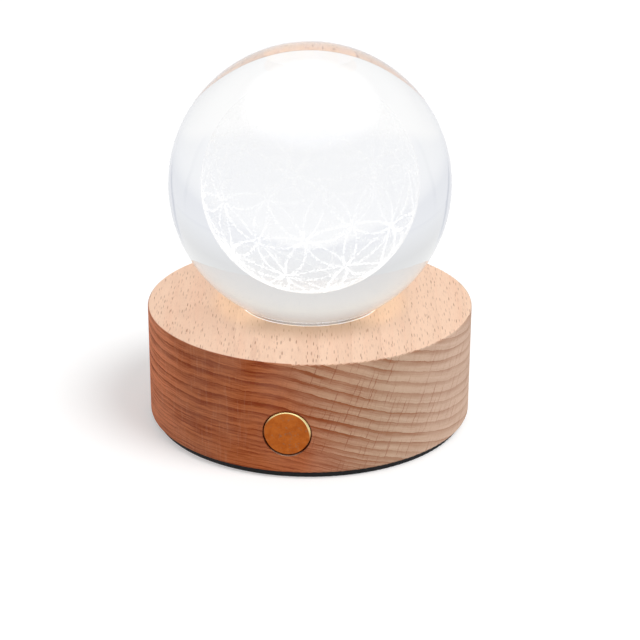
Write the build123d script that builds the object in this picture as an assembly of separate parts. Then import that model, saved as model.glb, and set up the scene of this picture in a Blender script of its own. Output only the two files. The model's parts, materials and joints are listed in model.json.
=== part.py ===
from build123d import *
import math
import os

# Crystal ball lamp: a clear glass ball with a lattice engraved inside it, standing on a round
# beech base that holds the lights, a battery and its board.
# All lengths are in millimetres. The origin is the centre of the foot's underside, +Z is up,
# the button faces -Y and the charging port faces +Y.

# Driving sizes
ball_radius = 40.0
wood_radius = 46.8
wood_height = 32.5
side_wall = 9.8
foot_thickness = 2.0
board_thickness = 1.6
cut_overrun = 2.0  # how far a cutting shape runs past the face that it opens

# Clearances
glue_gap = 0.05  # round a piece that is glued or pressed into its bore
running_gap = 0.05  # round a stem that slides in its bore
screw_gap = 0.05  # round a screw's shank

# Levels of the wood
wood_bottom = foot_thickness
wood_top = wood_bottom + wood_height
cavity_radius = wood_radius - side_wall

# Seat of the ball: a clear ring in a rebate at the top of the light well
seat_circle_radius = 19.2  # circle in which the ball passes through the plane of the wood's top
ring_rim_width = 1.1  # flat rim outside that circle
ring_seat_width = 1.9  # spherical seat inside it
ring_height = 3.0
ring_side_gap = 0.08
ring_ledge_step = 0.3  # how far the ledge under the ring reaches inside it
seat_gap = 0.03  # between the ball and its seat
ring_radius = seat_circle_radius + ring_rim_width
ring_bore_radius = seat_circle_radius - ring_seat_width
ring_bottom = wood_top - ring_height
well_radius = ring_bore_radius - ring_ledge_step
ball_height = wood_top + math.sqrt(ball_radius**2 - seat_circle_radius**2)

# Cover and foot
cover_thickness = 2.5
cover_ledge = 5.5  # width of the wooden ledge that the cover lies against
cover_edge_gap = 0.15
wood_edge_break = 0.5
foot_inset = 1.5  # how far the pad stays inside the wood's edge
foot_edge_break = 0.3
cover_rebate_radius = cavity_radius + cover_ledge
cover_top = wood_bottom + cover_thickness

# Control board on its posts
post_height = 3.6
post_radius = 3.0
board_post_place_shares = [(-0.44, -0.76), (0.44, -0.76), (-0.44, 0.76), (0.44, 0.76)]
board_edge_gap = 3.0  # between the control board's edge and the cavity's wall
control_board_bottom = cover_top + post_height
control_board_top = control_board_bottom + board_thickness
control_board_radius = cavity_radius - board_edge_gap
post_places = [(x * control_board_radius, y * control_board_radius) for x, y in board_post_place_shares]

# Switch on the control board, whose axis is the button's axis
switch_axis_height = 4.0  # above the control board
switch_width = 7.4
switch_depth = 3.6
switch_height = 7.2
switch_setback = 2.5  # from the board's front edge
switch_frame_thickness = 0.4
plunger_radius = 1.75
plunger_flange_radius = 2.4
plunger_flange_thickness = 0.8
plunger_reach = 1.5  # how far the plunger stands out of the switch
press_travel = 0.5
switch_front = -(control_board_radius - switch_setback)
plunger_tip = switch_front - plunger_reach
plunger_flange_front = switch_front + (switch_depth - plunger_flange_thickness - press_travel) / 2
button_height = control_board_top + switch_axis_height

# Button in the front of the wood
cap_radius = 6.55
cap_thickness = 2.4
cap_recess = 0.2  # how far its face lies inside the wood's outermost line
cap_chamfer = 0.4
cap_side_gap = 0.2
cap_bore_depth = 4.8
stem_radius = 2.5
guide_radius = 4.5
guide_flange_radius = 6.2
guide_flange_thickness = 0.8
clip_radius = 3.75
clip_thickness = 0.5
clip_groove_depth = 0.45
clip_groove_gap = 0.03
clip_mouth_width = 3.2
cap_face = -(wood_radius - cap_recess)
cap_back = cap_face + cap_thickness
cap_bore_end = -(wood_radius - cap_bore_depth)
guide_end = -cavity_radius

# Charging port at the rear
port_width = 8.94
port_height = 3.26
port_depth = 7.35
port_wall = 0.3
port_overhang = 2.4  # how far its mouth stands out past the board's edge
port_tongue_width = 6.7
port_tongue_thickness = 0.7
port_tongue_depth = 4.6
port_block_depth = 1.6
bezel_opening_width = 13.0
bezel_opening_height = 7.5
bezel_wall = 1.0
bezel_recess = 0.9  # how far it ends inside the wood's outermost line
bezel_inner_setback = 0.6  # how far it ends short of the cavity's wall
port_mouth = control_board_radius + port_overhang
port_axis_height = control_board_top + port_height / 2

# Sockets, plugs and leads
socket_depth = 6.0
socket_width = 5.8
socket_height = 4.6
socket_wall = 0.7
plug_reach = 1.5  # how far a plug stands out of its socket
plug_gap = 0.05
lead_radius = 0.6
lead_spacing = 2.0
lead_arc_share = 0.45  # of a lead's shorter run, from its corner to where the arc starts
battery_socket_place_shares = (-0.324, 0.56)
led_socket_place_shares = (0.324, 0.56)
board_socket_place_shares = (0.5, 0.52)  # of the light board's radius

# Battery and its tape, between the sockets on the control board
battery_end_gap = 10.0  # between its end and the board's edge, for its leads
battery_side_gap = 2.14  # between it and the sockets beside it
battery_thickness = 6.0
battery_corner = 1.5
tape_thickness = 0.3
tape_inset = 4.0
battery_side = battery_socket_place_shares[1] * control_board_radius - socket_width / 2 - battery_side_gap
battery_length = 2 * (control_board_radius - battery_end_gap)
battery_width = 2 * battery_side
battery_bottom = control_board_top + tape_thickness
battery_top = battery_bottom + battery_thickness

# Light board under the roof of the cavity, which is as high as what it holds
led_socket_gap = 1.3  # between the battery and the socket that hangs from the light board
led_board_rim = 5.0  # how far the board reaches past the well's edge
led_count = 5
led_ring_radius = 6.2
led_first_angle = 56.5
led_size = 3.5
led_height = 0.8
led_window_radius = 1.35
led_window_depth = 0.25
led_resistor_radius = 11.2
led_resistor_length = 2.0
led_resistor_width = 1.25
led_resistor_height = 0.55
led_screw_count = 3
led_screw_inset = 2.4  # from the board's edge
led_screw_first_angle = 90.0
led_board_radius = well_radius + led_board_rim
led_board_bottom = battery_top + led_socket_gap + socket_height
cavity_roof = led_board_bottom + board_thickness

# Screws
cover_screw_count = 4
cover_screw_first_angle = 45.0
cover_screw_radius = 1.1
cover_screw_head_radius = 2.1
cover_screw_length = 10.0
cover_screw_circle = cavity_radius + cover_ledge / 2
board_screw_radius = 1.0
board_screw_head_radius = 1.9
board_screw_head_height = 1.4
post_screw_grip = 3.0  # how far it reaches past the control board
led_screw_grip_share = 0.375  # of the wood between the light board and the seat ring
screw_recess_radius = 0.7  # socket in the head
screw_recess_depth = 0.8
led_screw_grip = led_screw_grip_share * (ring_bottom - cavity_roof)

# Small parts on the control board
chip_sizes = {"length": 4.9, "width": 3.9, "height": 1.5}
chip_place_shares = [(-0.25, -0.62), (0.05, -0.62)]
coil_side = 5.0
coil_height = 3.0
coil_corner = 0.9
coil_place_shares = (0.3, -0.6)
capacitor_length = 3.2
capacitor_width = 1.6
capacitor_height = 1.3
capacitor_place_shares = [(-0.02, 0.57), (-0.02, 0.66), (-0.25, -0.5), (0.05, -0.5)]

# Engraved lattice: circles round the 42 corners of a sphere of triangles, each through its neighbours
lattice_radius = 20.3
lattice_line_width = 0.32
lattice_end_gap = 0.95  # between a line's end and the corner that it points at
lattice_turn = (20.8, -11.0, 3.6)  # degrees about X, Y and Z
lattice_bulge_share = 1 - math.cos(math.radians(30))  # sagitta of a circle through its neighbours


def upright(radius, low, high, x=0, y=0):
    shape = Cylinder(radius, high - low, align=(Align.CENTER, Align.CENTER, Align.MIN))
    return Pos(x, y, low) * shape


def lying(radius, near, far, height):
    shape = Cylinder(radius, far - near, align=(Align.CENTER, Align.CENTER, Align.MIN))
    return Pos(0, near, height) * Rot(-90, 0, 0) * shape


def lying_slot(width, height, near, far, axis_height):
    outline = SlotOverall(width, height)
    return Pos(0, near, axis_height) * Rot(-90, 0, 0) * extrude(outline, far - near)


def block(low_corner, high_corner):
    sides = [high - low for low, high in zip(low_corner, high_corner)]
    return Pos(*low_corner) * Box(*sides, align=(Align.MIN, Align.MIN, Align.MIN))


def chip(length, width, height, x, y, low, turn=0):
    shape = Box(length, width, height, align=(Align.CENTER, Align.CENTER, Align.MIN))
    return Pos(x, y, low) * Rot(0, 0, turn) * shape


def around(count, radius, first_angle):
    angles = [math.radians(first_angle + 360 * i / count) for i in range(count)]
    return [(radius * math.cos(a), radius * math.sin(a)) for a in angles]


def on_control_board(shares):
    return (shares[0] * control_board_radius, shares[1] * control_board_radius)


cover_screw_places = around(cover_screw_count, cover_screw_circle, cover_screw_first_angle)
led_screw_places = around(led_screw_count, led_board_radius - led_screw_inset, led_screw_first_angle)


# Glass ball and its engraving
def crystal_ball():
    return Pos(0, 0, ball_height) * Sphere(ball_radius)


def lattice_triangles():
    golden = (1 + math.sqrt(5)) / 2
    corners = []
    for a in (-1, 1):
        for b in (-golden, golden):
            corners += [Vector(0, a, b), Vector(a, b, 0), Vector(b, 0, a)]
    corners = [corner.normalized() for corner in corners]
    near = 1.1  # on a ball of radius 1 the nearest corners are 1.05 apart, the next ones 1.7
    triangles = []
    for i, a in enumerate(corners):
        for j, b in enumerate(corners[:i]):
            for c in corners[:j]:
                if max((a - b).length, (b - c).length, (c - a).length) < near:
                    ab, bc, ca = (a + b).normalized(), (b + c).normalized(), (c + a).normalized()
                    triangles += [(a, ab, ca), (ab, b, bc), (ca, bc, c), (ab, bc, ca)]
    return triangles


def lattice_line(start, end, centre):
    middle = (start + end) / 2
    bulge = (middle - centre).normalized() * (lattice_bulge_share * (end - start).length)
    crown = (middle + bulge).normalized()
    arc = Edge.make_three_point_arc(start * lattice_radius, crown * lattice_radius, end * lattice_radius)
    cut = lattice_end_gap / arc.length
    arc = arc.trim(cut, 1 - cut)
    section = Rectangle(lattice_line_width, lattice_line_width)
    return sweep(Plane(arc @ 0, x_dir=arc.normal(), z_dir=arc % 0) * section, path=arc)


def engraved_lattice():
    lines = []
    for a, b, c in lattice_triangles():
        lines += [lattice_line(a, b, c), lattice_line(b, c, a), lattice_line(c, a, b)]
    return Pos(0, 0, ball_height) * Rot(*lattice_turn) * Compound(children=lines)


def seat_ring():
    ring = upright(ring_radius, ring_bottom, wood_top)
    ring -= upright(ring_bore_radius, ring_bottom - cut_overrun, wood_top + cut_overrun)
    return ring - Pos(0, 0, ball_height) * Sphere(ball_radius + seat_gap)


# Wooden base, cover and foot
def wooden_base():
    wood = upright(wood_radius, wood_bottom, wood_top)
    wood = fillet(wood.edges().filter_by(GeomType.CIRCLE), wood_edge_break)
    wood -= upright(cavity_radius, wood_bottom - cut_overrun, cavity_roof)
    wood -= upright(cover_rebate_radius, wood_bottom - cut_overrun, cover_top)
    wood -= upright(well_radius, cavity_roof - cut_overrun, wood_top + cut_overrun)
    wood -= upright(ring_radius + ring_side_gap, ring_bottom, wood_top + cut_overrun)
    outside = -(wood_radius + cut_overrun)
    wood -= lying(cap_radius + cap_side_gap, outside, cap_bore_end, button_height)
    wood -= lying(guide_radius + glue_gap, outside, guide_end + cut_overrun, button_height)
    bezel_width = bezel_opening_width + 2 * (bezel_wall + glue_gap)
    bezel_height = bezel_opening_height + 2 * (bezel_wall + glue_gap)
    inside = cavity_radius - cut_overrun
    wood -= lying_slot(bezel_width, bezel_height, inside, -outside, port_axis_height)
    for x, y in cover_screw_places:
        tip = wood_bottom + cover_screw_length + screw_gap
        wood -= upright(cover_screw_radius + screw_gap, cover_top - cut_overrun, tip, x, y)
    for x, y in led_screw_places:
        tip = cavity_roof + led_screw_grip + screw_gap
        wood -= upright(board_screw_radius + screw_gap, cavity_roof - cut_overrun, tip, x, y)
    return wood


def bottom_cover():
    cover = upright(cover_rebate_radius - cover_edge_gap, wood_bottom, cover_top)
    for x, y in post_places:
        cover += upright(post_radius, cover_top, control_board_bottom, x, y)
        tip = control_board_bottom - post_screw_grip - screw_gap
        cover -= upright(board_screw_radius + screw_gap, tip, control_board_bottom + cut_overrun, x, y)
    for x, y in cover_screw_places:
        low, high = wood_bottom - cut_overrun, cover_top + cut_overrun
        cover -= upright(cover_screw_radius + screw_gap, low, high, x, y)
        cover -= Pos(x, y, wood_bottom) * cover_screw_head(screw_gap)
    return cover


def cover_screw_head(gap=0):
    head_height = cover_screw_head_radius - cover_screw_radius
    lower, upper = cover_screw_head_radius + gap, cover_screw_radius + gap
    return Cone(lower, upper, head_height, align=(Align.CENTER, Align.CENTER, Align.MIN))


def cover_screw(x, y):
    screw = upright(cover_screw_radius, wood_bottom, wood_bottom + cover_screw_length, x, y)
    screw += Pos(x, y, wood_bottom) * cover_screw_head()
    low, high = wood_bottom - cut_overrun, wood_bottom + screw_recess_depth
    return screw - upright(screw_recess_radius, low, high, x, y)


def bottom_cover_screws():
    return [cover_screw(x, y) for x, y in cover_screw_places]


def foot_pad():
    pad = upright(wood_radius - foot_inset, 0, foot_thickness)
    edges = pad.edges().filter_by(GeomType.CIRCLE)
    return fillet(edges, foot_edge_break)


# Button, its guide and the switch
def button_cap():
    cap = lying(cap_radius, cap_face, cap_back, button_height)
    cap = chamfer(cap.faces().sort_by(Axis.Y)[0].edges(), cap_chamfer)
    cap += lying(stem_radius, cap_back, plunger_tip, button_height)
    groove_near, groove_far = guide_end - clip_groove_gap, guide_end + clip_thickness + clip_groove_gap
    groove = lying(stem_radius, groove_near, groove_far, button_height)
    near, far = guide_end - cut_overrun, guide_end + cut_overrun
    groove -= lying(stem_radius - clip_groove_depth, near, far, button_height)
    return cap - groove


def button_guide():
    guide = lying(guide_radius, cap_bore_end, guide_end, button_height)
    flange_face = cap_bore_end - guide_flange_thickness
    guide += lying(guide_flange_radius, flange_face, cap_bore_end, button_height)
    bore = lying(stem_radius + running_gap, cap_face - cut_overrun, guide_end + cut_overrun, button_height)
    return guide - bore


def button_clip():
    inner_radius = stem_radius - clip_groove_depth + clip_groove_gap
    near, far = guide_end - cut_overrun, guide_end + cut_overrun
    clip = lying(clip_radius, guide_end, guide_end + clip_thickness, button_height)
    clip -= lying(inner_radius, near, far, button_height)
    mouth = clip_mouth_width / 2
    low = button_height - clip_radius - cut_overrun
    return clip - block((-mouth, near, low), (mouth, far, button_height))


def switch_body():
    half = switch_width / 2
    back = switch_front + switch_depth
    top = control_board_top + switch_height
    body = block((-half, switch_front, control_board_top), (half, back, top))
    chamber_end = plunger_flange_front + plunger_flange_thickness + press_travel
    neck_radius = plunger_radius + running_gap
    body -= lying(neck_radius, switch_front - cut_overrun, chamber_end, button_height)
    chamber_radius = plunger_flange_radius + running_gap
    return body - lying(chamber_radius, plunger_flange_front, chamber_end, button_height)


def switch_plunger():
    flange_back = plunger_flange_front + plunger_flange_thickness
    plunger = lying(plunger_radius, plunger_tip, plunger_flange_front, button_height)
    return plunger + lying(plunger_flange_radius, plunger_flange_front, flange_back, button_height)


def switch_frame():
    half = switch_width / 2
    back = switch_front + switch_depth
    outer = half + switch_frame_thickness
    low, top = control_board_top, control_board_top + switch_height
    frame = block((-outer, switch_front, low), (outer, back + switch_frame_thickness, top))
    near, below, above = switch_front - cut_overrun, low - cut_overrun, top + cut_overrun
    return frame - block((-half, near, below), (half, back, above))


# Charging port
def port_shell():
    back = port_mouth - port_depth
    shell = lying_slot(port_width, port_height, back, port_mouth, port_axis_height)
    hollow = (port_width - 2 * port_wall, port_height - 2 * port_wall)
    return shell - lying_slot(*hollow, back + port_wall, port_mouth + cut_overrun, port_axis_height)


def port_tongue():
    floor = port_mouth - port_depth + port_wall
    block_end = floor + port_block_depth
    width = port_width - 2 * (port_wall + glue_gap)
    height = port_height - 2 * (port_wall + glue_gap)
    tongue = lying_slot(width, height, floor, block_end, port_axis_height)
    half_width, half_height = port_tongue_width / 2, port_tongue_thickness / 2
    low = (-half_width, block_end, port_axis_height - half_height)
    high = (half_width, block_end + port_tongue_depth, port_axis_height + half_height)
    return tongue + block(low, high)


def port_bezel():
    near = cavity_radius + bezel_inner_setback
    far = wood_radius - bezel_recess
    width = bezel_opening_width + 2 * bezel_wall
    height = bezel_opening_height + 2 * bezel_wall
    bezel = lying_slot(width, height, near, far, port_axis_height)
    opening = (bezel_opening_width, bezel_opening_height)
    return bezel - lying_slot(*opening, near - cut_overrun, far + cut_overrun, port_axis_height)


# Control board and what is on it
def control_board():
    board = upright(control_board_radius, control_board_bottom, control_board_top)
    for x, y in post_places:
        board -= upright(board_screw_radius + screw_gap, cover_top, control_board_top + cut_overrun, x, y)
    return board


def board_screw(x, y, board_face, direction, grip):
    tip = board_face - direction * (board_thickness + grip)
    head = board_face + direction * board_screw_head_height
    screw = upright(board_screw_radius, min(tip, board_face), max(tip, board_face), x, y)
    screw += upright(board_screw_head_radius, min(board_face, head), max(board_face, head), x, y)
    floor = head - direction * screw_recess_depth
    past = head + direction * cut_overrun
    return screw - upright(screw_recess_radius, min(floor, past), max(floor, past), x, y)


def control_board_screws():
    return [board_screw(x, y, control_board_top, 1, post_screw_grip) for x, y in post_places]


def control_chips():
    places = [on_control_board(shares) for shares in chip_place_shares]
    return [chip(**chip_sizes, x=x, y=y, low=control_board_top) for x, y in places]


def boost_coil():
    x, y = on_control_board(coil_place_shares)
    outline = RectangleRounded(coil_side, coil_side, coil_corner)
    return Pos(x, y, control_board_top) * extrude(outline, coil_height)


def capacitors():
    places = [on_control_board(shares) for shares in capacitor_place_shares]
    sizes = (capacitor_length, capacitor_width, capacitor_height)
    return [chip(*sizes, x, y, control_board_top) for x, y in places]


def battery_tape():
    half_length, half_width = battery_length / 2 - tape_inset, battery_width / 2 - tape_inset
    return block((-half_length, -half_width, control_board_top), (half_length, half_width, battery_bottom))


def battery_cell():
    outline = Plane.YZ * RectangleRounded(battery_width, battery_thickness, battery_corner)
    middle = battery_bottom + battery_thickness / 2
    return Pos(-battery_length / 2, 0, middle) * extrude(outline, battery_length)


# Sockets, plugs and leads
battery_socket = (*on_control_board(battery_socket_place_shares), control_board_top, -1)
led_socket = (*on_control_board(led_socket_place_shares), control_board_top, 1)
board_socket_x, board_socket_y = [share * led_board_radius for share in board_socket_place_shares]
board_socket = (board_socket_x, board_socket_y, led_board_bottom - socket_height, 1)
sockets = [battery_socket, led_socket, board_socket]


def facing(x, y, low, direction, shape):
    turn = 0 if direction > 0 else 180
    return Pos(x, y, low) * Rot(0, 0, turn) * shape


def lead_socket(x, y, low, direction):
    half_depth, half_width = socket_depth / 2, socket_width / 2
    housing = block((-half_depth, -half_width, 0), (half_depth, half_width, socket_height))
    pocket_low = (socket_wall - half_depth, socket_wall - half_width, socket_wall)
    pocket_high = (half_depth + cut_overrun, half_width - socket_wall, socket_height - socket_wall)
    return facing(x, y, low, direction, housing - block(pocket_low, pocket_high))


def lead_plug(x, y, low, direction):
    half_depth, half_width = socket_depth / 2, socket_width / 2
    side = socket_wall + plug_gap
    plug_low = (side - half_depth, side - half_width, side)
    plug_high = (half_depth + plug_reach, half_width - side, socket_height - side)
    return facing(x, y, low, direction, block(plug_low, plug_high))


def lead_sockets():
    return [lead_socket(*place) for place in sockets]


def lead_plugs():
    return [lead_plug(*place) for place in sockets]


def plug_exit(place, side):
    x, y, low, direction = place
    reach = socket_depth / 2 + plug_reach
    return (x + direction * reach, y + side * lead_spacing / 2, low + socket_height / 2)


# A lead's arcs are as large as its runs allow
def lead(name, points):
    route = [Vector(*point) for point in points]
    runs = [after - before for before, after in zip(route, route[1:])]
    radii = []
    for first, second in zip(runs, runs[1:]):
        half_turn = math.radians(first.get_angle(second) / 2)
        radii.append(lead_arc_share * min(first.length, second.length) / math.tan(half_turn))
    path = FilletPolyline(*route, radius=radii)
    tube = sweep(Plane(path @ 0, z_dir=path % 0) * Circle(lead_radius), path=path)
    volume_share = tube.volume / (math.pi * lead_radius**2 * path.length)
    print(name, "radii", [round(radius, 1) for radius in radii], "volume share", round(volume_share, 4))
    return tube


# Each lead leaves the battery and enters its plug straight, along X. These two are shares of the
# cavity's radius, and between them X and Y are shares of it too, and Z of the way up or down.
battery_lead_outer_end_shares = (-0.816, -0.595)
battery_lead_outer_shares = [(-0.908, 0.149, 0.2), (-0.886, 0.357, 0.55), (-0.757, 0.503, 0.9)]
battery_lead_inner_end_shares = (-0.81, -0.578)
battery_lead_inner_shares = [(-0.862, 0.18, 0.2), (-0.832, 0.335, 0.55), (-0.719, 0.454, 0.9)]


def battery_lead(name, side, end_shares, shares):
    start = (-battery_length / 2, side * lead_spacing / 2, battery_bottom + battery_thickness / 2)
    end = plug_exit(battery_socket, -side)
    out_x, in_x = [share * cavity_radius for share in end_shares]
    drop = end[2] - start[2]
    middle = [(x * cavity_radius, y * cavity_radius, start[2] + z * drop) for x, y, z in shares]
    return lead(name, [start, (out_x, start[1], start[2]), *middle, (in_x, end[1], end[2]), end])


def battery_lead_red():
    return battery_lead("battery_lead_red", 1, battery_lead_inner_end_shares, battery_lead_inner_shares)


def battery_lead_black():
    return battery_lead("battery_lead_black", -1, battery_lead_outer_end_shares, battery_lead_outer_shares)


led_lead_bend_share = 0.66  # how far out the light's leads climb, of the cavity's radius
led_lead_last_run = 3.0  # straight into the light board's plug


# The leads climb at different places, so that neither crosses the other above the battery
def led_lead(name, side):
    start = plug_exit(led_socket, side)
    end = plug_exit(board_socket, side)
    shift = side * lead_spacing / 2
    bend = led_lead_bend_share * cavity_radius - shift
    knee = end[0] + led_lead_last_run - shift
    route = [start, (bend, start[1], start[2]), (bend, start[1], end[2]), (knee, end[1], end[2]), end]
    return lead(name, route)


def led_lead_red():
    return led_lead("led_lead_red", 1)


def led_lead_black():
    return led_lead("led_lead_black", -1)


# Light board
def led_board():
    board = upright(led_board_radius, led_board_bottom, cavity_roof)
    for x, y in led_screw_places:
        low, high = led_board_bottom - cut_overrun, cavity_roof + cut_overrun
        board -= upright(board_screw_radius + screw_gap, low, high, x, y)
    return board


def led_places():
    return around(led_count, led_ring_radius, led_first_angle)


def led_angle(i):
    return led_first_angle + 360 * i / led_count


def led_packages():
    packages = []
    for i, (x, y) in enumerate(led_places()):
        package = chip(led_size, led_size, led_height, x, y, cavity_roof, led_angle(i))
        top = cavity_roof + led_height
        packages.append(package - upright(led_window_radius, top - led_window_depth, top + cut_overrun, x, y))
    return packages


def led_windows():
    top = cavity_roof + led_height
    return [upright(led_window_radius, top - led_window_depth, top, x, y) for x, y in led_places()]


def led_resistors():
    places = around(led_count, led_resistor_radius, led_first_angle)
    sizes = (led_resistor_length, led_resistor_width, led_resistor_height)
    return [chip(*sizes, x, y, cavity_roof, led_angle(i) + 90) for i, (x, y) in enumerate(places)]


def led_board_screws():
    return [board_screw(x, y, led_board_bottom, -1, led_screw_grip) for x, y in led_screw_places]


pieces = [
    crystal_ball,
    engraved_lattice,
    seat_ring,
    wooden_base,
    bottom_cover,
    bottom_cover_screws,
    foot_pad,
    button_cap,
    button_guide,
    button_clip,
    switch_body,
    switch_plunger,
    switch_frame,
    port_shell,
    port_tongue,
    port_bezel,
    control_board,
    control_board_screws,
    control_chips,
    boost_coil,
    capacitors,
    battery_tape,
    battery_cell,
    lead_sockets,
    lead_plugs,
    battery_lead_red,
    battery_lead_black,
    led_lead_red,
    led_lead_black,
    led_board,
    led_packages,
    led_windows,
    led_resistors,
    led_board_screws,
]

os.makedirs("parts", exist_ok=True)
for piece in pieces:
    shape = piece()
    if isinstance(shape, list):
        shape = Compound(children=shape)
    shape.label = piece.__name__
    export_step(shape, f"parts/{piece.__name__}.step")
    print(piece.__name__, "solids", len(shape.solids()))
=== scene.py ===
import json
import math

import bpy
import numpy as np
from mathutils import Matrix


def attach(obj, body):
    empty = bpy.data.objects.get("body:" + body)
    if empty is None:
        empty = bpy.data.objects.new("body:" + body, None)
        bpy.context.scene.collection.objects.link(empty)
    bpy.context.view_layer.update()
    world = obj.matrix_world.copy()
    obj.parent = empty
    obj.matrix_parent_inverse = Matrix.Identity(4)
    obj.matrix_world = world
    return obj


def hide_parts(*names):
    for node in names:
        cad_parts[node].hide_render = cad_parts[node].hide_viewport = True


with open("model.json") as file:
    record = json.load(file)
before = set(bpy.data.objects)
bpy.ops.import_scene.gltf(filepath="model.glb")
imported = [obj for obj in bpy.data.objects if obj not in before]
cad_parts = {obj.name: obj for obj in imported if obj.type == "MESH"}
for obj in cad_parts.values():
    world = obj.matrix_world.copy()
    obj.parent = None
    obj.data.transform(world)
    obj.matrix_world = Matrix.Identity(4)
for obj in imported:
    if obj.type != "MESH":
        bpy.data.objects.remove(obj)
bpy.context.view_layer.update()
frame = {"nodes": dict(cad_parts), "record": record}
nodes = frame["nodes"]
print("frame loaded:", len(nodes), "nodes")


# A colour as it shows on a screen, 0 to 255, to the linear one that the shaders take
def paint(red, green, blue):
    shares = [channel / 255 for channel in (red, green, blue)]
    linear = [s / 12.92 if s <= 0.04045 else ((s + 0.055) / 1.055) ** 2.4 for s in shares]
    return (*linear, 1)


def grey(value):
    return (value, value, value, 1)


# One socket of a sheet of nodes; a sum written on it adds its Math nodes
class Wire:
    def __init__(self, sheet, socket):
        self.sheet = sheet
        self.socket = socket

    def other(self, name):
        return Wire(self.sheet, self.socket.node.outputs[name])

    def __add__(self, value):
        return self.sheet.sum("ADD", self, value)

    def __sub__(self, value):
        return self.sheet.sum("SUBTRACT", self, value)

    def __mul__(self, value):
        return self.sheet.sum("MULTIPLY", self, value)

    def __truediv__(self, value):
        return self.sheet.sum("DIVIDE", self, value)

    def __pow__(self, value):
        return self.sheet.sum("POWER", self, value)

    def __rsub__(self, value):
        return self.sheet.sum("SUBTRACT", value, self)

    def __rtruediv__(self, value):
        return self.sheet.sum("DIVIDE", value, self)

    __radd__ = __add__
    __rmul__ = __mul__


# The nodes of one material or of the world
class Sheet:
    def __init__(self, owner):
        owner.use_nodes = True
        self.tree = owner.node_tree
        self.tree.nodes.clear()

    # Settings come first, because some of them change which sockets there are
    def add(self, kind, settings=None, inputs=None, output=0):
        node = self.tree.nodes.new("ShaderNode" + kind)
        for name, value in (settings or {}).items():
            if name == "stops":
                while len(node.color_ramp.elements) < len(value):
                    node.color_ramp.elements.new(0.5)
                for stop, (position, colour) in zip(node.color_ramp.elements, value):
                    stop.position = position
                    stop.color = colour
            else:
                setattr(node, name, value)
        for name, value in (inputs or {}).items():
            if isinstance(value, Wire):
                self.tree.links.new(value.socket, node.inputs[name])
            else:
                node.inputs[name].default_value = value
        return Wire(self, node.outputs[output]) if len(node.outputs) else node

    def sum(self, operation, *values):
        return self.add("Math", {"operation": operation}, dict(enumerate(values)))

    def vector(self, operation, *values, output=0):
        return self.add("VectorMath", {"operation": operation}, dict(enumerate(values)), output)

    def scaled(self, vector, scale):
        return self.add("VectorMath", {"operation": "SCALE"}, {0: vector, 3: scale})

    def joined(self, x, y, z):
        return self.add("CombineXYZ", None, {0: x, 1: y, 2: z})

    def split(self, vector):
        x = self.add("SeparateXYZ", None, {0: vector})
        return x, x.other("Y"), x.other("Z")

    def absolute(self, value):
        return self.sum("ABSOLUTE", value)

    # Distance from the axis of x and y
    def reach(self, x, y):
        return self.sum("SQRT", x * x + y * y)

    # 0 up to low and 1 from high on, smooth between; low may be the higher one
    def band(self, value, low, high):
        edges = {"Value": value, "From Min": low, "From Max": high}
        return self.add("MapRange", {"interpolation_type": "SMOOTHSTEP"}, edges)

    # A soft step from 0 to 1 round a middle, after the sum of that step over all lower values
    def softStep(self, value, middle, width):
        grown = self.sum("EXPONENT", (value - middle) / width) + 1
        return self.sum("LOGARITHM", grown, math.e) * width, 1 - 1 / grown

    def mix(self, share, first, second):
        return self.add("Mix", {"data_type": "RGBA"}, {0: share, 6: first, 7: second}, output=2)

    def noise(self, vector, scale, detail=2.0, rough=0.5):
        inputs = {"Vector": vector, "Scale": scale, "Detail": detail, "Roughness": rough}
        return self.add("TexNoise", None, inputs)

    def bump(self, height, depth):
        return self.add("Bump", None, {"Height": height, "Distance": depth})

    # Object coordinates in millimetres
    def millimetres(self):
        return self.scaled(self.add("TexCoord", output="Object"), 1000.0)

    def surface(self, inputs):
        shader = self.add("BsdfPrincipled", None, inputs)
        self.add("OutputMaterial", None, {"Surface": shader})


def newMaterial(name):
    material = bpy.data.materials.new(name)
    return material, Sheet(material)


# Points and faces, worked out as arrays, made a mesh object
def makePiece(name, points, faces, material):
    mesh = bpy.data.meshes.new(name)
    mesh.from_pydata(points.tolist(), [], [face for part in faces for face in part.tolist()])
    mesh.polygons.foreach_set("use_smooth", np.ones(len(mesh.polygons), bool))
    mesh.update()
    mesh.materials.append(material)
    piece = bpy.data.objects.new(name, mesh)
    bpy.context.scene.collection.objects.link(piece)
    return piece


# Unit vectors of a view that looks along ahead: its right and its upward
def levelAxes(ahead):
    right = np.cross(ahead, [0, 0, 1])
    right /= np.linalg.norm(right)
    return right, np.cross(right, ahead)


# Stands an object in the scene with its own x, y and z along three unit vectors
def standAt(thing, x, y, z, place):
    grid = np.eye(4)
    grid[:3, 0], grid[:3, 1], grid[:3, 2], grid[:3, 3] = x, y, z, place
    thing.matrix_world = Matrix(grid.tolist())
    bpy.context.scene.collection.objects.link(thing)


# Camera, at the photograph's viewing angle; aimed a little beside the wood's top
cameraLook = {
    "lens": 105.075,
    "sensor": 36.0,
    "clip": (0.01, 50.0),
    "azimuth": 7.571,
    "elevation": 21.769,
    "distance": 0.54145,
    "aimHeight": 0.0345,
    "aimRight": 0.002956,
    "aimDown": 0.005984,
    "roll": 0.269,
}


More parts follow.
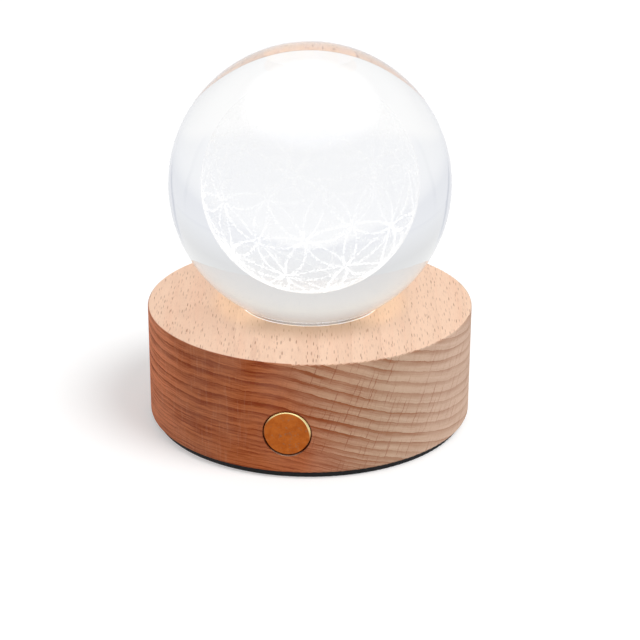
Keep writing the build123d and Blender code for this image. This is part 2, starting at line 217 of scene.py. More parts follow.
# Position on a sphere round the aim, from the azimuth and the elevation
def placeCamera(look):
    turn, rise = math.radians(look["azimuth"]), math.radians(look["elevation"])
    level = math.cos(rise)
    outwards = np.array([math.sin(turn) * level, -math.cos(turn) * level, math.sin(rise)])
    middle = np.array([0, 0, look["aimHeight"]])
    place = middle + look["distance"] * outwards
    right, upward = levelAxes(-outwards)
    aim = middle + look["aimRight"] * right - look["aimDown"] * upward
    ahead = (aim - place) / np.linalg.norm(aim - place)
    right, upward = levelAxes(ahead)
    lean = math.radians(look["roll"])
    leanRight = math.cos(lean) * right + math.sin(lean) * upward
    leanUp = math.cos(lean) * upward - math.sin(lean) * right
    data = bpy.data.cameras.new("camera")
    data.lens = look["lens"]
    data.sensor_width = look["sensor"]
    data.clip_start, data.clip_end = look["clip"]
    camera = bpy.data.objects.new("camera", data)
    standAt(camera, leanRight, leanUp, -ahead, place)
    bpy.context.scene.camera = camera


placeCamera(cameraLook)
bpy.context.scene.view_settings.view_transform = "Standard"
print("camera placed")


# Studio: a white floor, a soft surround and two large lamps
studioLook = {
    "floorSize": 6.0,
    "floorPaint": 0.74,
    "floorLift": 0.36,
    "farLift": 0.3,
    "farReach": (0.2, 1.2),
    "nearTone": grey(1.0),
    "middleTone": paint(247, 248, 250),
    "sideTone": paint(233, 235, 240),
    "nearReach": (0.122, 0.150),
    "sideReach": (0.110, 0.260),
    "flagSide": (0.991, 0.132),
    "flagTone": paint(217, 220, 230),
    "flagBearing": (0.86, 0.97),
    "flagReach": (0.16, 0.4),
    "flagHeight": (0.40, 0.22),
    "edgeTone": paint(176, 181, 196),
    "edgeBearings": (0.905, 0.922, 0.934, 0.950),
    "surround": 0.5,
    "surroundTones": [
        (0.0, paint(205, 206, 214)),
        (0.49, paint(228, 230, 236)),
        (0.51, paint(232, 234, 238)),
        (0.60, paint(219, 220, 222)),
        (0.72, paint(227, 228, 227)),
        (0.78, paint(230, 230, 226)),
        (0.84, paint(217, 214, 211)),
        (0.90, paint(208, 201, 196)),
        (1.0, paint(205, 200, 196)),
    ],
    "overhead": grey(2.2),
    "overheadHeight": (0.64, 0.84),
    "keyLamp": {"watts": 34.0, "size": 1.35, "place": (1.2, -0.6, 1.87)},
    "fillLamp": {"watts": 0.6, "size": 1.2, "place": (-0.9, -0.9, 0.9)},
    "lampAim": (0, 0, 0.04),
}


# How far a point lies to the left or the right of the lamp, whichever it is
def sideways(sheet, look, x, y):
    sideX, sideY = look["flagSide"]
    return sheet.absolute(x * sideX + y * sideY)


# Two grey flags stand to the left and right, each with a dark edge: they draw the ball's outline
def flagged(sheet, look, x, y, tone, share):
    bearing = sideways(sheet, look, x, y) / sheet.reach(x, y)
    tone = sheet.mix(sheet.band(bearing, *look["flagBearing"]) * share, tone, look["flagTone"])
    first, second, third, fourth = look["edgeBearings"]
    edge = sheet.band(bearing, first, second) * sheet.band(bearing, fourth, third)
    return sheet.mix(edge * share, tone, look["edgeTone"])


# Rays of the camera, rays that passed glass, and rays that passed or were mirrored
def rayKinds(sheet):
    seen = sheet.add("LightPath", output="Is Camera Ray")
    through = seen.other("Is Transmission Ray")
    return seen, through, sheet.sum("MAXIMUM", seen.other("Is Glossy Ray"), through)


# Glass and metal see the floor white near the lamp, and a little greyer further off and to the sides
def buildFloor(look):
    material, sheet = newMaterial("paleFloor")
    seen, _, mirrored = rayKinds(sheet)
    x, y = sheet.split(sheet.add("TexCoord", output="Object"))[:2]
    reach = sheet.reach(x, y)
    aside = sideways(sheet, look, x, y)
    tone = sheet.mix(sheet.band(reach, *look["nearReach"]), look["nearTone"], look["middleTone"])
    tone = sheet.mix(sheet.band(aside, *look["sideReach"]), tone, look["sideTone"])
    tone = flagged(sheet, look, x, y, tone, sheet.band(reach, *look["flagReach"]))
    paper = sheet.add("BsdfDiffuse", None, {"Color": grey(look["floorPaint"])})
    lift = sheet.band(reach, *look["farReach"]) * look["farLift"] + look["floorLift"]
    lift = sheet.add("Emission", None, {"Strength": seen * lift})
    paper = sheet.add("AddShader", None, {0: paper, 1: lift})
    shown = sheet.add("Emission", None, {"Color": tone, "Strength": 1.0})
    either = sheet.add("MixShader", None, {0: mirrored, 1: paper, 2: shown})
    sheet.add("OutputMaterial", None, {"Surface": either})
    half = look["floorSize"] / 2
    corners = np.array([(-half, -half, 0), (half, -half, 0), (half, half, 0), (-half, half, 0)])
    floor = makePiece("floor", corners, [np.array([[0, 1, 2, 3]])], material)


# White to the camera; glass and metal see it a little greyer, and a wide soft box overhead is mirrored
def buildSurround(look):
    world = bpy.data.worlds.new("surround")
    bpy.context.scene.world = world
    sheet = Sheet(world)
    seen, through, mirrored = rayKinds(sheet)
    x, y, z = sheet.split(sheet.add("TexCoord", output="Generated"))
    shade = sheet.add("ValToRGB", {"stops": look["surroundTones"]}, {0: z * 0.5 + 0.5})
    shade = flagged(sheet, look, x, y, shade, sheet.band(z, *look["flagHeight"]))
    box = sheet.band(z, *look["overheadHeight"]) * (1 - through)
    shade = sheet.mix(box, shade, look["overhead"])
    colour = sheet.mix(mirrored, grey(look["surround"]), shade)
    colour = sheet.mix(seen, colour, grey(1))
    sheet.add("OutputWorld", None, {"Surface": sheet.add("Background", None, {"Color": colour})})


def addLamp(name, lampLook, aim):
    data = bpy.data.lights.new(name, "AREA")
    data.energy = lampLook["watts"]
    data.shape = "DISK"
    data.size = lampLook["size"]
    lamp = bpy.data.objects.new(name, data)
    away = np.array(lampLook["place"]) - np.array(aim)
    away /= np.linalg.norm(away)
    right, upward = levelAxes(-away)
    standAt(lamp, right, upward, away, lampLook["place"])
    lamp.visible_glossy = False
    lamp.visible_transmission = False


buildFloor(studioLook)
buildSurround(studioLook)
addLamp("keyLamp", studioLook["keyLamp"], studioLook["lampAim"])
addLamp("fillLamp", studioLook["fillLamp"], studioLook["lampAim"])
print("studio lit")


# Glass ball, in millimetres, with faint smears in its polish
ballLook = {
    "radius": 40.0,
    "height": 69.59,
    "around": 320,
    "upward": 200,
    "refraction": 1.517,
    "clearTone": grey(1.0),
    "smearedTone": (0.985, 0.99, 0.995, 1),
    "smears": (0.09, 4.0, 0.6),
    "smearZone": (0.56, 0.72),
    "smearRoughness": 0.004,
}


# A round skin from longitude u and latitude v: r (cos u sin v, sin u sin v, -cos v),
# with a single point at each pole
def roundSkin(look):
    around, rows = look["around"], look["upward"] - 1
    u = np.linspace(0, 2 * np.pi, around, endpoint=False)
    v = np.linspace(0, np.pi, look["upward"] + 1)[1:-1]
    u, v = np.meshgrid(u, v)
    skin = np.stack([np.cos(u) * np.sin(v), np.sin(u) * np.sin(v), -np.cos(v)], -1).reshape(-1, 3)
    skin = np.vstack([skin, [[0, 0, -1], [0, 0, 1]]]) * look["radius"]
    skin[:, 2] += look["height"]
    step = np.arange(around)
    beside = (step + 1) % around
    row = np.arange(rows - 1)[:, None] * around
    above = row + around
    sides = np.stack([row + step, row + beside, above + beside, above + step], -1).reshape(-1, 4)
    low, high, last = rows * around, rows * around + 1, (rows - 1) * around
    bottom = np.stack([beside, step, np.full(around, low)], -1)
    top = np.stack([last + step, last + beside, np.full(around, high)], -1)
    return skin / 1000, [sides, bottom, top]


def buildBall(look):
    material, sheet = newMaterial("crystalGlass")
    smear = sheet.band(sheet.noise(sheet.millimetres(), *look["smears"]), *look["smearZone"])
    sheet.surface({
        "Base Color": sheet.mix(smear, look["clearTone"], look["smearedTone"]),
        "Roughness": smear * look["smearRoughness"],
        "IOR": look["refraction"],
        "Transmission Weight": 1.0,
    })
    ball = makePiece("polishedBall", *roundSkin(look), material)
    ball.visible_shadow = False
    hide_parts("crystal_ball")
    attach(ball, "ball")


buildBall(ballLook)
print("ball made")


# Engraving: a cloud of specks along the circles of the lattice. Their glow is painted light that stands
# for the diodes' light, strongest low down and in front.
# Lengths are in millimetres, the turn in degrees
engravingLook = {
    "radius": 20.3,
    "height": ballLook["height"],
    "turn": (20.8, -11.0, 3.6),
    "endGap": 0.5,
    "bulge": 1 - math.cos(math.radians(30)),
    "specksPerLine": 192,
    "specksPerBead": 8,
    "beadSpread": 0.3,
    "speckRadius": 0.072,
    "speckSizes": (0.6, 1.25),
    "spread": 0.19,
    "outermost": 20.36,
    "faintBeads": 0.22,
    "faintSize": 0.5,
    "plainSize": 1.05,
    "seed": 7,
    "darkTone": (0.3, 0.31, 0.32, 1),
    "paleTone": grey(0.4),
    "glowTone": (1.0, 0.99, 0.97, 1),
    "glow": 1.4,
    "topGlow": 0.66,
    "litAbove": 10.0,
    "litDown": 0.9,
    "litFront": (8.0, -4.0),
    "litBehind": 0.1,
    "patchScale": 1.3,
    "patchiness": 0.25,
    "toneScale": 2.0,
}


def unit(points):
    return points / np.linalg.norm(points, axis=-1, keepdims=True)


# Corner triples of a ball of 80 triangles: the 20 of an icosahedron, each cut in four
def latticeTriangles():
    golden = (1 + math.sqrt(5)) / 2
    signs = [(a, b) for a in (-1, 1) for b in (-golden, golden)]
    corners = [corner for a, b in signs for corner in ((0, a, b), (a, b, 0), (b, 0, a))]
    corners = unit(np.array(corners))
    index = np.array([(i, j, k) for i in range(12) for j in range(i) for k in range(j)])
    a, b, c = corners[index[:, 0]], corners[index[:, 1]], corners[index[:, 2]]
    apart = np.stack([np.linalg.norm(p - q, axis=1) for p, q in ((a, b), (b, c), (c, a))], 1)
    near = apart.max(1) < 1.1  # an icosahedron's edge is 1.05 of its radius, the next distance 1.70
    a, b, c = a[near], b[near], c[near]
    ab, bc, ca = unit(a + b), unit(b + c), unit(c + a)
    quarters = ((a, ab, ca), (ab, b, bc), (ca, bc, c), (ab, bc, ca))
    return np.concatenate([np.stack(quarter, 1) for quarter in quarters])


# One matrix for turns about z, then y, then x, given as x, y and z in degrees
def turnMatrix(turn):
    x, y, z = np.radians(turn)
    aboutX = np.array([[1, 0, 0], [0, np.cos(x), -np.sin(x)], [0, np.sin(x), np.cos(x)]])
    aboutY = np.array([[np.cos(y), 0, np.sin(y)], [0, 1, 0], [-np.sin(y), 0, np.cos(y)]])
    aboutZ = np.array([[np.cos(z), -np.sin(z), 0], [np.sin(z), np.cos(z), 0], [0, 0, 1]])
    return aboutX @ aboutY @ aboutZ


# Each line is the circle through start, crown and end: centre + r (cos t, sin t) in its plane
def latticeSpecks(look):
    rng = np.random.default_rng(look["seed"])
    triples = latticeTriangles()
    starts, ends, thirds = ([triples[:, (i + k) % 3] for i in range(3)] for k in range(3))
    start, end, third = np.concatenate(starts), np.concatenate(ends), np.concatenate(thirds)
    middle = (start + end) / 2
    reach = np.linalg.norm(end - start, axis=1, keepdims=True)
    crown = unit(middle + unit(middle - third) * look["bulge"] * reach)
    toCrown, toEnd = crown - start, end - start
    normal = np.cross(toCrown, toEnd)
    square = (normal ** 2).sum(1, keepdims=True)
    lean = (toEnd ** 2).sum(1, keepdims=True) * np.cross(normal, toCrown)
    lean += (toCrown ** 2).sum(1, keepdims=True) * np.cross(toEnd, normal)
    centre = start + lean / (2 * square)
    first = start - centre
    second = np.cross(unit(normal), first)
    sweep = np.arctan2(((end - centre) * second).sum(1), ((end - centre) * first).sum(1))
    sweep = sweep % (2 * np.pi)
    length = sweep * np.linalg.norm(first, axis=1) * look["radius"]
    gap = (look["endGap"] / length)[:, None]

    # Specks gather in beads along each line, and scatter a little off it
    count, bead = look["specksPerLine"], look["specksPerBead"]
    strewn = rng.normal(0, look["beadSpread"], (len(start), count))
    share = (np.arange(count) // bead + 0.5 + strewn) * bead / count
    angle = (gap + np.clip(share, 0, 1) * (1 - 2 * gap)) * sweep[:, None]
    cosine, sine = np.cos(angle)[..., None], np.sin(angle)[..., None]
    specks = centre[:, None] + cosine * first[:, None] + sine * second[:, None]
    specks = specks.reshape(-1, 3) * look["radius"]
    specks += rng.normal(0, look["spread"], specks.shape)
    specks *= np.minimum(1, look["outermost"] / np.linalg.norm(specks, axis=1, keepdims=True))
    specks = specks @ turnMatrix(look["turn"]).T
    size = look["speckRadius"] * rng.uniform(*look["speckSizes"], len(specks))
    faint = rng.uniform(size=len(specks) // bead) < look["faintBeads"]
    size *= np.where(np.repeat(faint, bead), look["faintSize"], look["plainSize"])
    return specks + [0, 0, look["height"]], size


# A speck is a tetrahedron: its centre plus its size towards four corners of a cube
def buildEngraving(look):
    specks, size = latticeSpecks(look)
    corners = np.array([(1, 1, 1), (1, -1, -1), (-1, 1, -1), (-1, -1, 1)]) / math.sqrt(3)
    sides = np.array([(0, 1, 2), (0, 3, 1), (0, 2, 3), (1, 3, 2)])
    points = (specks[:, None] + corners * size[:, None, None]).reshape(-1, 3) / 1000
    faces = (sides + 4 * np.arange(len(specks))[:, None, None]).reshape(-1, 3)
    material, sheet = newMaterial("engravedSpecks")
    place = sheet.millimetres()
    y, z = sheet.split(place)[1:]
    # Painted light: the specks' emission is strongest low down, near the diodes, and in front, with
    # random patches
    middle, lowest = look["height"], look["height"] - look["radius"] * look["litDown"]
    front = sheet.band(y, *look["litFront"]) * (1 - look["litBehind"]) + look["litBehind"]
    lit = sheet.band(z, middle + look["litAbove"], lowest) * front
    lit += (sheet.noise(place, look["patchScale"]) - 0.5) * look["patchiness"]
    tone = sheet.noise(place, look["toneScale"])
    sheet.surface({
        "Base Color": sheet.mix(tone, look["darkTone"], look["paleTone"]),
        "Roughness": 0.6,
        "Specular IOR Level": 0.1,
        "Emission Color": sheet.mix(lit, grey(look["topGlow"] / look["glow"]), look["glowTone"]),
        "Emission Strength": look["glow"],
    })
    engraving = makePiece("engravedCloud", points, [faces], material)
    engraving.visible_shadow = False
    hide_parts("engraved_lattice")
    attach(engraving, "ball")
    print("engraving made:", len(specks), "specks")


buildEngraving(engravingLook)


# Haze between the lines: a thin skin of dust that shows more where it is seen edge-on and more low down;
# its glow is painted light that stands for the diodes' light, strongest low down where that light is
# near
hazeLook = {
    "radius": 20.4,
    "height": ballLook["height"],
    "around": 128,
    "upward": 80,
    "lowShare": 0.08,
    "highShare": 0.008,
    "clouds": (0.5, 4.0, 0.65),
    "cloudiness": 0.8,
    "leastFacing": 0.08,
    "darkTone": (0.22, 0.23, 0.24, 1),
    "paleTone": grey(0.3),
    "topTone": grey(0.8),
    "glowTone": (1.0, 1.0, 0.99, 1),
    "glow": 0.85,
    "litAbove": 3.0,
    "litDown": 0.9,
}


def buildHaze(look):
    material, sheet = newMaterial("engravedHaze")
    place = sheet.millimetres()
    z = sheet.split(place)[2]
    middle, lowest = look["height"], look["height"] - look["radius"] * look["litDown"]
    # Painted light: the haze's emission is strongest low down, near the diodes
    low = sheet.band(z, middle + look["litAbove"], lowest)
    cloud = sheet.noise(place, *look["clouds"])
    share = low * (look["lowShare"] - look["highShare"]) + look["highShare"]
    share = share * (cloud * look["cloudiness"] + (1 - look["cloudiness"] / 2))
    facing = 1 - sheet.add("LayerWeight", None, {"Blend": 0.5}, "Facing")
    crossed = 1 / sheet.sum("MAXIMUM", facing, look["leastFacing"])
    sheet.surface({
        "Base Color": sheet.mix(cloud, look["darkTone"], look["paleTone"]),
        "Roughness": 0.9,
        "Specular IOR Level": 0.0,
        "Alpha": 1 - (1 - share) ** crossed,
        "Emission Color": sheet.mix(low, look["topTone"], look["glowTone"]),
        "Emission Strength": look["glow"],
    })
    haze = makePiece("engravedHaze", *roundSkin(look), material)
    haze.visible_shadow = False
    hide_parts("engraved_lattice")
    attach(haze, "ball")


buildHaze(hazeLook)
print("haze made")


# Beech: growth rings are sheets along the fibres, level on the left and falling to the right.
# Lengths are in millimetres. A zone is where it begins and where it is full. A grain is how far it is
# squeezed along the fibres, then its noise's scale, detail and roughness. Three scales are how fine a
# noise is across, along and up the rings
beechLook = {
    "fibre": (-0.1302, 0.9915),
    "top": 34.5,
    "midHeight": 17.0,
    "fall": 0.365,
    "bendAcross": -6.4,
    "bendWidth": 4.2,
    "firstRing": 6.0,
    "ringsPerMillimetre": 0.325,
    "crowdedFrom": 21.0,
    "crowdedWidth": 1.5,
    "crowdedMore": 0.52,
    "leftZone": (9.0, -8.0),
    "leftLean": 0.35,
    "leftBehind": (4.0, 34.0),
    "farLeftBounceZone": (-30.0, -46.0),
    "rightZone": (4.0, 24.0),
    "farRightZone": (18.0, 42.0),
    "topZone": (0.6, 0.95),
    "wanderGrain": (0.06, 0.07, 2.0),
    "rippleGrain": (0.06, 0.55, 3.0, 0.65),
    "wander": 2.0,
    "ripple": 0.7,
    "rayRipple": 0.9,
    "patchGrain": (0.1, 0.16, 3.0),
    "poreGrain": (0.12, 4.0, 3.0, 0.6),
    "streakGrain": (0.05, 0.45, 4.0, 0.65),
    "driftGrain": (0.2, 0.07, 2.0),
    "markZone": (0.5, 0.75),
    "streakZone": (0.42, 0.75),
    "driftZone": (0.35, 0.7),
    "bandScales": (0.035, 0.035, 0.55),
    "threadScales": (0.16, 0.1, 3.2),
    "fleckScales": (1.9, 0.25, 0.12),
    "fadeReach": 2.5,
    "fadeWeight": 0.8,
    "lineReach": 0.34,
    "lineWeight": 0.44,
    "bandWeight": 1.3,
    "threadWeight": 1.1,
    "rayZone": (-12.0, 4.0),
    "darkRayZone": (-20.0, -12.0),
    "highZone": (20.0, 31.0),
    "lowZone": (13.0, 4.0),
    "dashCells": (1.1, 4.0, 60.0),
    "dashHalves": (0.14, 1.6, 40.0),
    "streakCells": (1.6, 50.0, 7.0),
    "streakHalves": (0.15, 40.0, 4.2),
    "darkest": 0.95,
    "rayWeight": 0.72,
    "topColour": paint(247, 212, 186),
    "contactShadeColour": paint(184, 152, 122),
    "farRightColour": paint(209, 180, 160),
    "rightColour": paint(195, 165, 141),
    "middleColour": paint(195, 153, 124),
    # Left colours: partly the wood's own red tone, partly painted reddish bounce light; the far left one
    # is painted bounce light and also the colour of the top's streaks
    "leftToneAndBounceColour": paint(190, 108, 64),
    "farLeftBounceAndStreakColour": paint(232, 141, 98),
    "rightLineColour": paint(150, 99, 69),
    "middleLineColour": paint(146, 76, 40),
    "leftLineColour": paint(136, 54, 20),
    "topRayColour": paint(150, 98, 78),
    "sideRayColour": paint(146, 80, 54),
    "leftRayColour": paint(222, 164, 134),
    # Painted shade at the mouth of the button's bore
    "boreShadeColour": paint(96, 48, 30),
    "buttonHeight": 13.7,
    "boreRadius": 6.75,
    "boreMouth": (-30.0, -36.0),
    "seatRadius": 20.38,
    # Painted shade round the ball's contact, and a painted glow of lamplight beside the ball
    "besideZone": (0.5, 0.85),
    "contactShadeZone": (14.0, 0.5),
    "contactShade": 0.68,
    "paintedLeakZone": (10.0, 4.0),
    "paintedLeakTone": (1.0, 0.62, 0.24, 1),
    "paintedLeakGlow": 0.14,
    "grooves": 0.00008,  # metres of bump
}


# Thin sheets, one in each cell: cells and half sizes are in millimetres across, along and up the grain
def raySheets(sheet, place, cells, halves):
    cell = sheet.joined(*(value / size for value, size in zip(place, cells)))
    nearest = sheet.add("TexVoronoi", {"feature": "F1"}, {"Vector": cell, "Scale": 1.0}, "Position")
    offsets = sheet.split(sheet.vector("SUBTRACT", cell, nearest))
    apart = sheet.joined(*(offset * (size / half) for offset, size, half in zip(offsets, cells, halves)))
    apart = sheet.vector("LENGTH", apart, output="Value")
    return 1 - sheet.band(apart, 0.5, 1.1), sheet.split(nearest.other("Color"))[0]


def beechWood(look):
    material, sheet = newMaterial("beechWood")
    x, y, z = sheet.split(sheet.millimetres())
    fx, fy = look["fibre"]
    along = x * fx + y * fy
    across = x * fy - y * fx
    raised = z - look["midHeight"]

    # A noise drawn out along the fibres, and one that follows the rings
    def grainNoise(squeeze, *settings):
        return sheet.noise(sheet.joined(across, along * squeeze, z), *settings)

    def ringNoise(place, scales, *settings):
        scaled = (value * scale for value, scale in zip(place, scales))
        return sheet.noise(sheet.joined(*scaled), 1.0, *settings)

    # How deep a point lies below the ring that touches the top on the left; the rings bend and wander
    wander = grainNoise(*look["wanderGrain"]) - 0.5
    ripple = grainNoise(*look["rippleGrain"]) - 0.5
    fallen, slope = sheet.softStep(across, look["bendAcross"], look["bendWidth"])
    slope = slope * look["fall"]
    depth = look["top"] - z - fallen * look["fall"]
    depth = depth + wander * look["wander"] + ripple * look["ripple"]
    extra, crowded = sheet.softStep(depth, look["crowdedFrom"], look["crowdedWidth"])
    count = (depth - look["firstRing"]) * look["ringsPerMillimetre"] + extra * look["crowdedMore"]
    spacing = 1 / (crowded * look["crowdedMore"] + look["ringsPerMillimetre"])
    under = sheet.sum("FRACT", count) * spacing
    year = sheet.add("TexWhiteNoise", {"noise_dimensions": "1D"}, {"W": sheet.sum("FLOOR", count)})

    # Zones of the trunk: paler to the right; redder to the left, partly the wood's own tone and partly
    # painted reddish bounce light; paler orange at the far left, which is painted bounce light; and the
    # flat top
    left = sheet.band(across + raised * look["leftLean"], *look["leftZone"])
    left = left * (1 - sheet.band(along, *look["leftBehind"]) * 0.6)
    farLeftBounce = sheet.band(across, *look["farLeftBounceZone"])
    right = sheet.band(across, *look["rightZone"])
    farRight = sheet.band(across, *look["farRightZone"])
    upward = sheet.split(sheet.add("TexCoord", output="Normal"))[2]
    onTop = sheet.band(upward, *look["topZone"])

    # Late wood: dark at the ring, fading below it, with fainter bands and threads between the rings
    bands = ringNoise((across, along, depth), look["bandScales"], 3.0, 0.7)
    threads = ringNoise((across, along, depth), look["threadScales"], 2.0, 0.6)
    patchy = grainNoise(*look["patchGrain"])
    line = (1 - sheet.band(under, 0.0, left * 0.25 + look["lineReach"])) * (0.35 + year * 0.65)
    fade = (1 - sheet.band(under, 0.1, look["fadeReach"] - right * 0.6)) * (0.62 + year * 0.38)
    fade = fade * ((1 - left) * (1 - right) * 0.2 + look["fadeWeight"]) * (1 - crowded * 0.45)
    dark = fade + line * look["lineWeight"]
    dark += (bands - 0.45) * (look["bandWeight"] - right * 0.2 - left * 0.4)
    dark += (threads - 0.5) * (look["threadWeight"] + left * 1.2 - right * 0.3) + right * 0.05
    byHeight = sheet.band(z, *look["highZone"]) * 0.26 - sheet.band(z, *look["lowZone"]) * 0.14
    dark += byHeight * (left - farLeftBounce)
    dark = dark * (0.6 + patchy * 0.8) * (1 - farRight * 0.5) * (1 - farLeftBounce * 0.3)
    dark = dark * (1 - onTop * 0.88)
    dark = sheet.sum("MINIMUM", sheet.sum("MAXIMUM", dark, 0.0), look["darkest"])

    # Rays stand across the rings: dashes on the top, thin lines down the side
    turn = across - slope * raised + ripple * look["rayRipple"]
    bent = (turn, along, depth)
    dash, dashTone = raySheets(sheet, bent, look["dashCells"], look["dashHalves"])
    streak, streakTone = raySheets(sheet, bent, look["streakCells"], look["streakHalves"])
    rayed = 0.04 + sheet.band(across, *look["rayZone"]) * 0.9 - farRight * 0.35
    ray = dash * (0.2 + dashTone * 0.8) * onTop
    ray += streak * sheet.band(streakTone, 0.1, 0.9) * rayed * (1 - onTop)

    # Colours of the body, of the rings' lines and of the rays, zone by zone
    body = sheet.mix(right, look["middleColour"], look["rightColour"])
    body = sheet.mix(farRight, body, look["farRightColour"])
    # Painted reddish bounce light, mixed with the wood's own tone, to the left, and painted bounce light
    # at the far left
    body = sheet.mix(left, body, look["leftToneAndBounceColour"])
    body = sheet.mix(farLeftBounce, body, look["farLeftBounceAndStreakColour"])
    body = sheet.mix(onTop, body, look["topColour"])
    lineColour = sheet.mix(right, look["middleLineColour"], look["rightLineColour"])
    lineColour = sheet.mix(left, lineColour, look["leftLineColour"])
    darkRays = sheet.band(across, *look["darkRayZone"])
    rayColour = sheet.mix(darkRays, look["leftRayColour"], look["sideRayColour"])
    rayColour = sheet.mix(onTop, rayColour, look["topRayColour"])
    colour = sheet.mix(dark, body, lineColour)
    colour = sheet.mix(ray * look["rayWeight"], colour, rayColour)

    # Pores, fine flecks across the rings, streaks along the fibres, and slow drifts of tone
    pores = grainNoise(*look["poreGrain"])
    marks = sheet.band(pores, *look["markZone"]) * (0.22 - onTop * 0.12)
    colour = sheet.mix(marks, colour, lineColour)
    flecks = ringNoise(bent, look["fleckScales"], 2.0)
    marks = sheet.band(flecks, *look["markZone"]) * (0.14 - onTop * 0.08)
    colour = sheet.mix(marks, colour, rayColour)
    streaks = sheet.band(grainNoise(*look["streakGrain"]), *look["streakZone"])
    colour = sheet.mix(streaks * onTop * 0.1, colour, look["farLeftBounceAndStreakColour"])
    drift = sheet.band(grainNoise(*look["driftGrain"]), *look["driftZone"])
    colour = sheet.mix(drift * 0.08, colour, look["topColour"])

    # Painted shade: the bore of the button is darkened at its mouth, where the gap round the button lies
    # in shadow
    bore = sheet.reach(x, z - look["buttonHeight"])
    boreShade = sheet.band(bore, look["boreRadius"] + 0.2, look["boreRadius"])
    boreShade = boreShade * sheet.band(y, *look["boreMouth"])
    colour = sheet.mix(boreShade * 0.5, colour, look["boreShadeColour"])

    # Painted shade: the wood close to the ball is darkened, standing for the ball's soft shadow, and a
    # painted glow of lamplight is added to its two sides
    reach = sheet.reach(x, y)
    outside = reach - look["seatRadius"]
    beside = sheet.band(sheet.absolute(across) / reach, *look["besideZone"])
    closeShade = sheet.band(outside, *look["contactShadeZone"]) * (1 - beside * 0.6) * onTop
    colour = sheet.mix(closeShade * look["contactShade"], colour, look["contactShadeColour"])
    # Painted light: the wood glows a little beside the ball, standing for lamplight focused or leaked
    # there
    paintedLeakGlow = sheet.band(outside, *look["paintedLeakZone"]) * beside * onTop
    sheet.surface({
        "Base Color": colour,
        "Roughness": 0.62 + pores * 0.12 - onTop * 0.06,
        "Specular IOR Level": 0.05,
        "Emission Color": sheet.mix(paintedLeakGlow * look["paintedLeakGlow"], (0, 0, 0, 1), look["paintedLeakTone"]),
        "Emission Strength": 1.0,
        "Normal": sheet.bump(pores * 0.35 - line * 0.5 - ray * 0.5, look["grooves"]),
    })
    return material


# Copper-coloured disc: a satin face, and a chamfer with a painted highlight to the top and right and
# painted shade to the bottom and left
buttonLook = {
    "height": 13.7,
    "face": paint(188, 103, 42),
    "faceShade": paint(168, 85, 31),
    "smudge": paint(146, 118, 92),
    "smudgeReach": 5.0,
    "smudges": (1.3, 3.0, 0.6),
    "smudgeZone": (0.6, 0.7),
    "tarnish": (0.5, 5.0, 0.7),
    "tarnishZone": (0.32, 0.68),
    # Painted highlight and painted shade of the chamfer
    "chamfer": paint(255, 234, 170),
    "chamferPaintedShade": paint(168, 96, 44),
    "chamferRadius": 6.12,
    "chamferHighlightZone": (0.2, 4.6),
    "turning": 0.00001,  # metres of bump
}


def copperBrass(look):
    material, sheet = newMaterial("copperBrass")
    place = sheet.millimetres()
    x, _, z = sheet.split(place)
    tall = z - look["height"]
    aside = sheet.reach(x, tall)
    tarnish = sheet.noise(place, *look["tarnish"]) + tall * 0.012
    face = sheet.mix(sheet.band(tarnish, *look["tarnishZone"]), look["faceShade"], look["face"])
    middle = sheet.band(aside, look["smudgeReach"], 0.5)
    smudge = sheet.noise(place, *look["smudges"]) + middle * 0.06
    smudge = sheet.band(smudge, *look["smudgeZone"])
    face = sheet.mix(smudge * 0.4, face, look["smudge"])
    # Painted highlight: the chamfer is pale towards the top and right, dark towards the bottom and left
    chamferHighlight = sheet.band(tall + x * 0.3, *look["chamferHighlightZone"])
    edge = sheet.mix(chamferHighlight, look["chamferPaintedShade"], look["chamfer"])
    rim = sheet.band(aside + chamferHighlight * 0.2, look["chamferRadius"], look["chamferRadius"] + 0.08)
    turned = sheet.noise(sheet.joined(aside, 0.0, 0.0), 9.0, 2.0)
    sheet.surface({
        "Base Color": sheet.mix(rim, face, edge),
        "Metallic": 1.0,
        "Roughness": 0.42 + smudge * 0.12 - rim * 0.2,
        "Normal": sheet.bump(turned + smudge * 0.4, look["turning"]),
    })
    return material


# Every other finish: its two tones, the scale of the noise between them, its roughness,
# the height of its bump in millimetres and how much it is a metal
finishLook = {
    "blackPlastic": ((34, 34, 35), (44, 44, 46), 3.0, 0.55, 0.02, 0.0),
    "blackFoam": ((16, 16, 17), (34, 34, 36), 2.2, 0.9, 0.12, 0.0),
    "screwSteel": ((176, 178, 182), (206, 208, 210), 5.0, 0.34, 0.01, 1.0),
    "springSteel": ((196, 198, 200), (222, 222, 222), 2.5, 0.26, 0.006, 1.0),
    "ivoryPlastic": ((222, 219, 208), (236, 233, 224), 2.0, 0.45, 0.012, 0.0),
    "greenBoard": ((20, 92, 56), (34, 124, 76), 0.9, 0.38, 0.015, 0.0),
    "chipPlastic": ((40, 40, 43), (58, 58, 61), 6.0, 0.62, 0.02, 0.0),
    "coilFerrite": ((88, 88, 92), (112, 112, 115), 4.0, 0.7, 0.02, 0.0),
    "capacitorCeramic": ((186, 160, 128), (204, 180, 148), 3.0, 0.5, 0.01, 0.0),
    "adhesiveTape": ((232, 232, 228), (246, 246, 242), 3.5, 0.8, 0.05, 0.0),
    "batteryFoil": ((206, 208, 212), (226, 228, 230), 0.35, 0.3, 0.06, 0.85),
    "redInsulation": ((190, 38, 30), (206, 52, 40), 2.0, 0.5, 0.01, 0.0),
    "blackInsulation": ((38, 38, 39), (52, 52, 53), 2.0, 0.5, 0.01, 0.0),
    "whiteBoard": ((238, 238, 234), (246, 246, 243), 0.8, 0.4, 0.012, 0.0),
    "packagePlastic": ((240, 240, 232), (248, 248, 242), 3.0, 0.4, 0.008, 0.0),
}


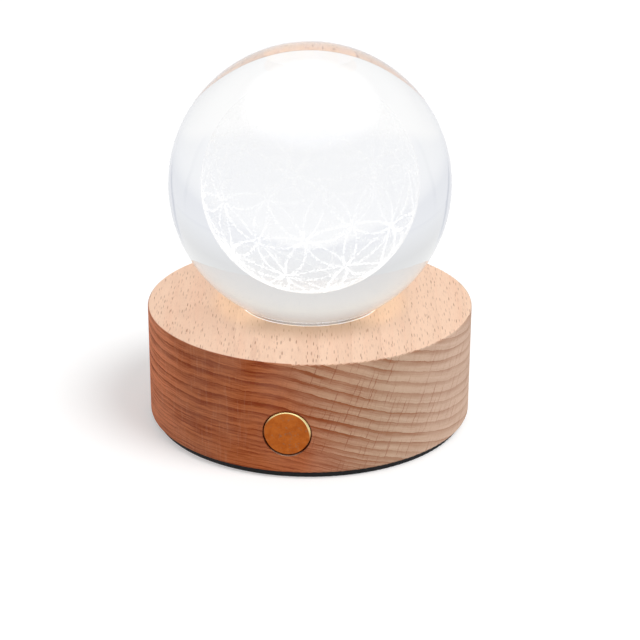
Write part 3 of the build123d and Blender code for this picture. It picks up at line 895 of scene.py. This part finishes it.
def plainFinish(name, darkTone, paleTone, scale, rough, height, metal):
    material, sheet = newMaterial(name)
    place = sheet.millimetres()
    fine = sheet.noise(place, scale, 3.0, 0.6)
    slow = sheet.noise(place, scale * 0.13, 2.0)
    share = sheet.band(fine * 0.6 + slow * 0.4, 0.35, 0.65)
    sheet.surface({
        "Base Color": sheet.mix(share, paint(*darkTone), paint(*paleTone)),
        "Metallic": metal,
        "Roughness": rough - 0.06 + fine * 0.12,
        "Normal": sheet.bump(fine, height / 1000),
    })
    return material


# Clear silicone seat: its outer edge has a painted glow, standing for the light that comes up into it
# from the diodes
seatLook = {
    "edgeReach": (19.85, 20.1),
    "edgeGlow": (0.95, 0.97, 1.0, 1),
    "edgeWarmGlow": (1.0, 0.92, 0.74, 1),
    "innerGlow": (0.12, 0.1, 0.08, 1),
    "glow": 0.8,
    "cloudyTone": (0.93, 0.94, 0.94, 1),
    "refraction": 1.41,
    "clearness": 0.92,
}


def clearSilicone(look):
    material, sheet = newMaterial("clearSilicone")
    place = sheet.millimetres()
    x, y = sheet.split(place)[:2]
    cloud = sheet.noise(place, 0.4, 3.0)
    # Painted light: a glow on the outer edge, and a faint one further in
    edge = sheet.band(sheet.reach(x, y), *look["edgeReach"])
    glow = sheet.mix(sheet.band(cloud, 0.4, 0.6), look["edgeWarmGlow"], look["edgeGlow"])
    sheet.surface({
        "Base Color": sheet.mix(cloud, look["cloudyTone"], grey(1.0)),
        "Roughness": 0.04 + cloud * 0.06,
        "IOR": look["refraction"],
        "Transmission Weight": look["clearness"],
        "Emission Color": sheet.mix(edge, look["innerGlow"], glow),
        "Emission Strength": look["glow"],
    })
    return material


# Lit phosphor of the diodes
phosphorLook = {
    "tones": (paint(250, 205, 70), paint(255, 222, 96)),
    "glowTones": ((1.0, 0.56, 0.08, 1), (1.0, 0.68, 0.16, 1)),
    "glow": 3.0,
}


def litPhosphor(look):
    material, sheet = newMaterial("litPhosphor")
    grain = sheet.noise(sheet.millimetres(), 2.5, 2.0)
    sheet.surface({
        "Base Color": sheet.mix(grain, *look["tones"]),
        "Roughness": 0.35,
        "Emission Color": sheet.mix(grain, *look["glowTones"]),
        "Emission Strength": look["glow"],
    })
    return material


finishes = {name: plainFinish(name, *look) for name, look in finishLook.items()}
finishes["beechWood"] = beechWood(beechLook)
finishes["copperBrass"] = copperBrass(buttonLook)
finishes["clearSilicone"] = clearSilicone(seatLook)
finishes["litPhosphor"] = litPhosphor(phosphorLook)

# Which finish each slot of the record takes
slotFinish = {
    "clear_silicone": "clearSilicone",
    "beech_wood": "beechWood",
    "black_plastic": "blackPlastic",
    "screw_steel": "screwSteel",
    "black_foam": "blackFoam",
    "copper_brass": "copperBrass",
    "spring_steel": "springSteel",
    "switch_plunger_plastic": "ivoryPlastic",
    "green_board": "greenBoard",
    "chip_plastic": "chipPlastic",
    "coil_ferrite": "coilFerrite",
    "capacitor_ceramic": "capacitorCeramic",
    "adhesive_tape": "adhesiveTape",
    "battery_foil": "batteryFoil",
    "connector_plastic": "ivoryPlastic",
    "red_insulation": "redInsulation",
    "black_insulation": "blackInsulation",
    "white_board": "whiteBoard",
    "led_plastic": "packagePlastic",
    "led_phosphor": "litPhosphor",
}


# Every node that shows takes the finish of its slot
def dressNodes():
    for part in frame["record"]["subparts"]:
        node, finish = nodes[part["node"]], slotFinish.get(part["material_slot"])
        if finish:
            node.data.materials.clear()
            node.data.materials.append(finishes[finish])


dressNodes()
print("nodes dressed")
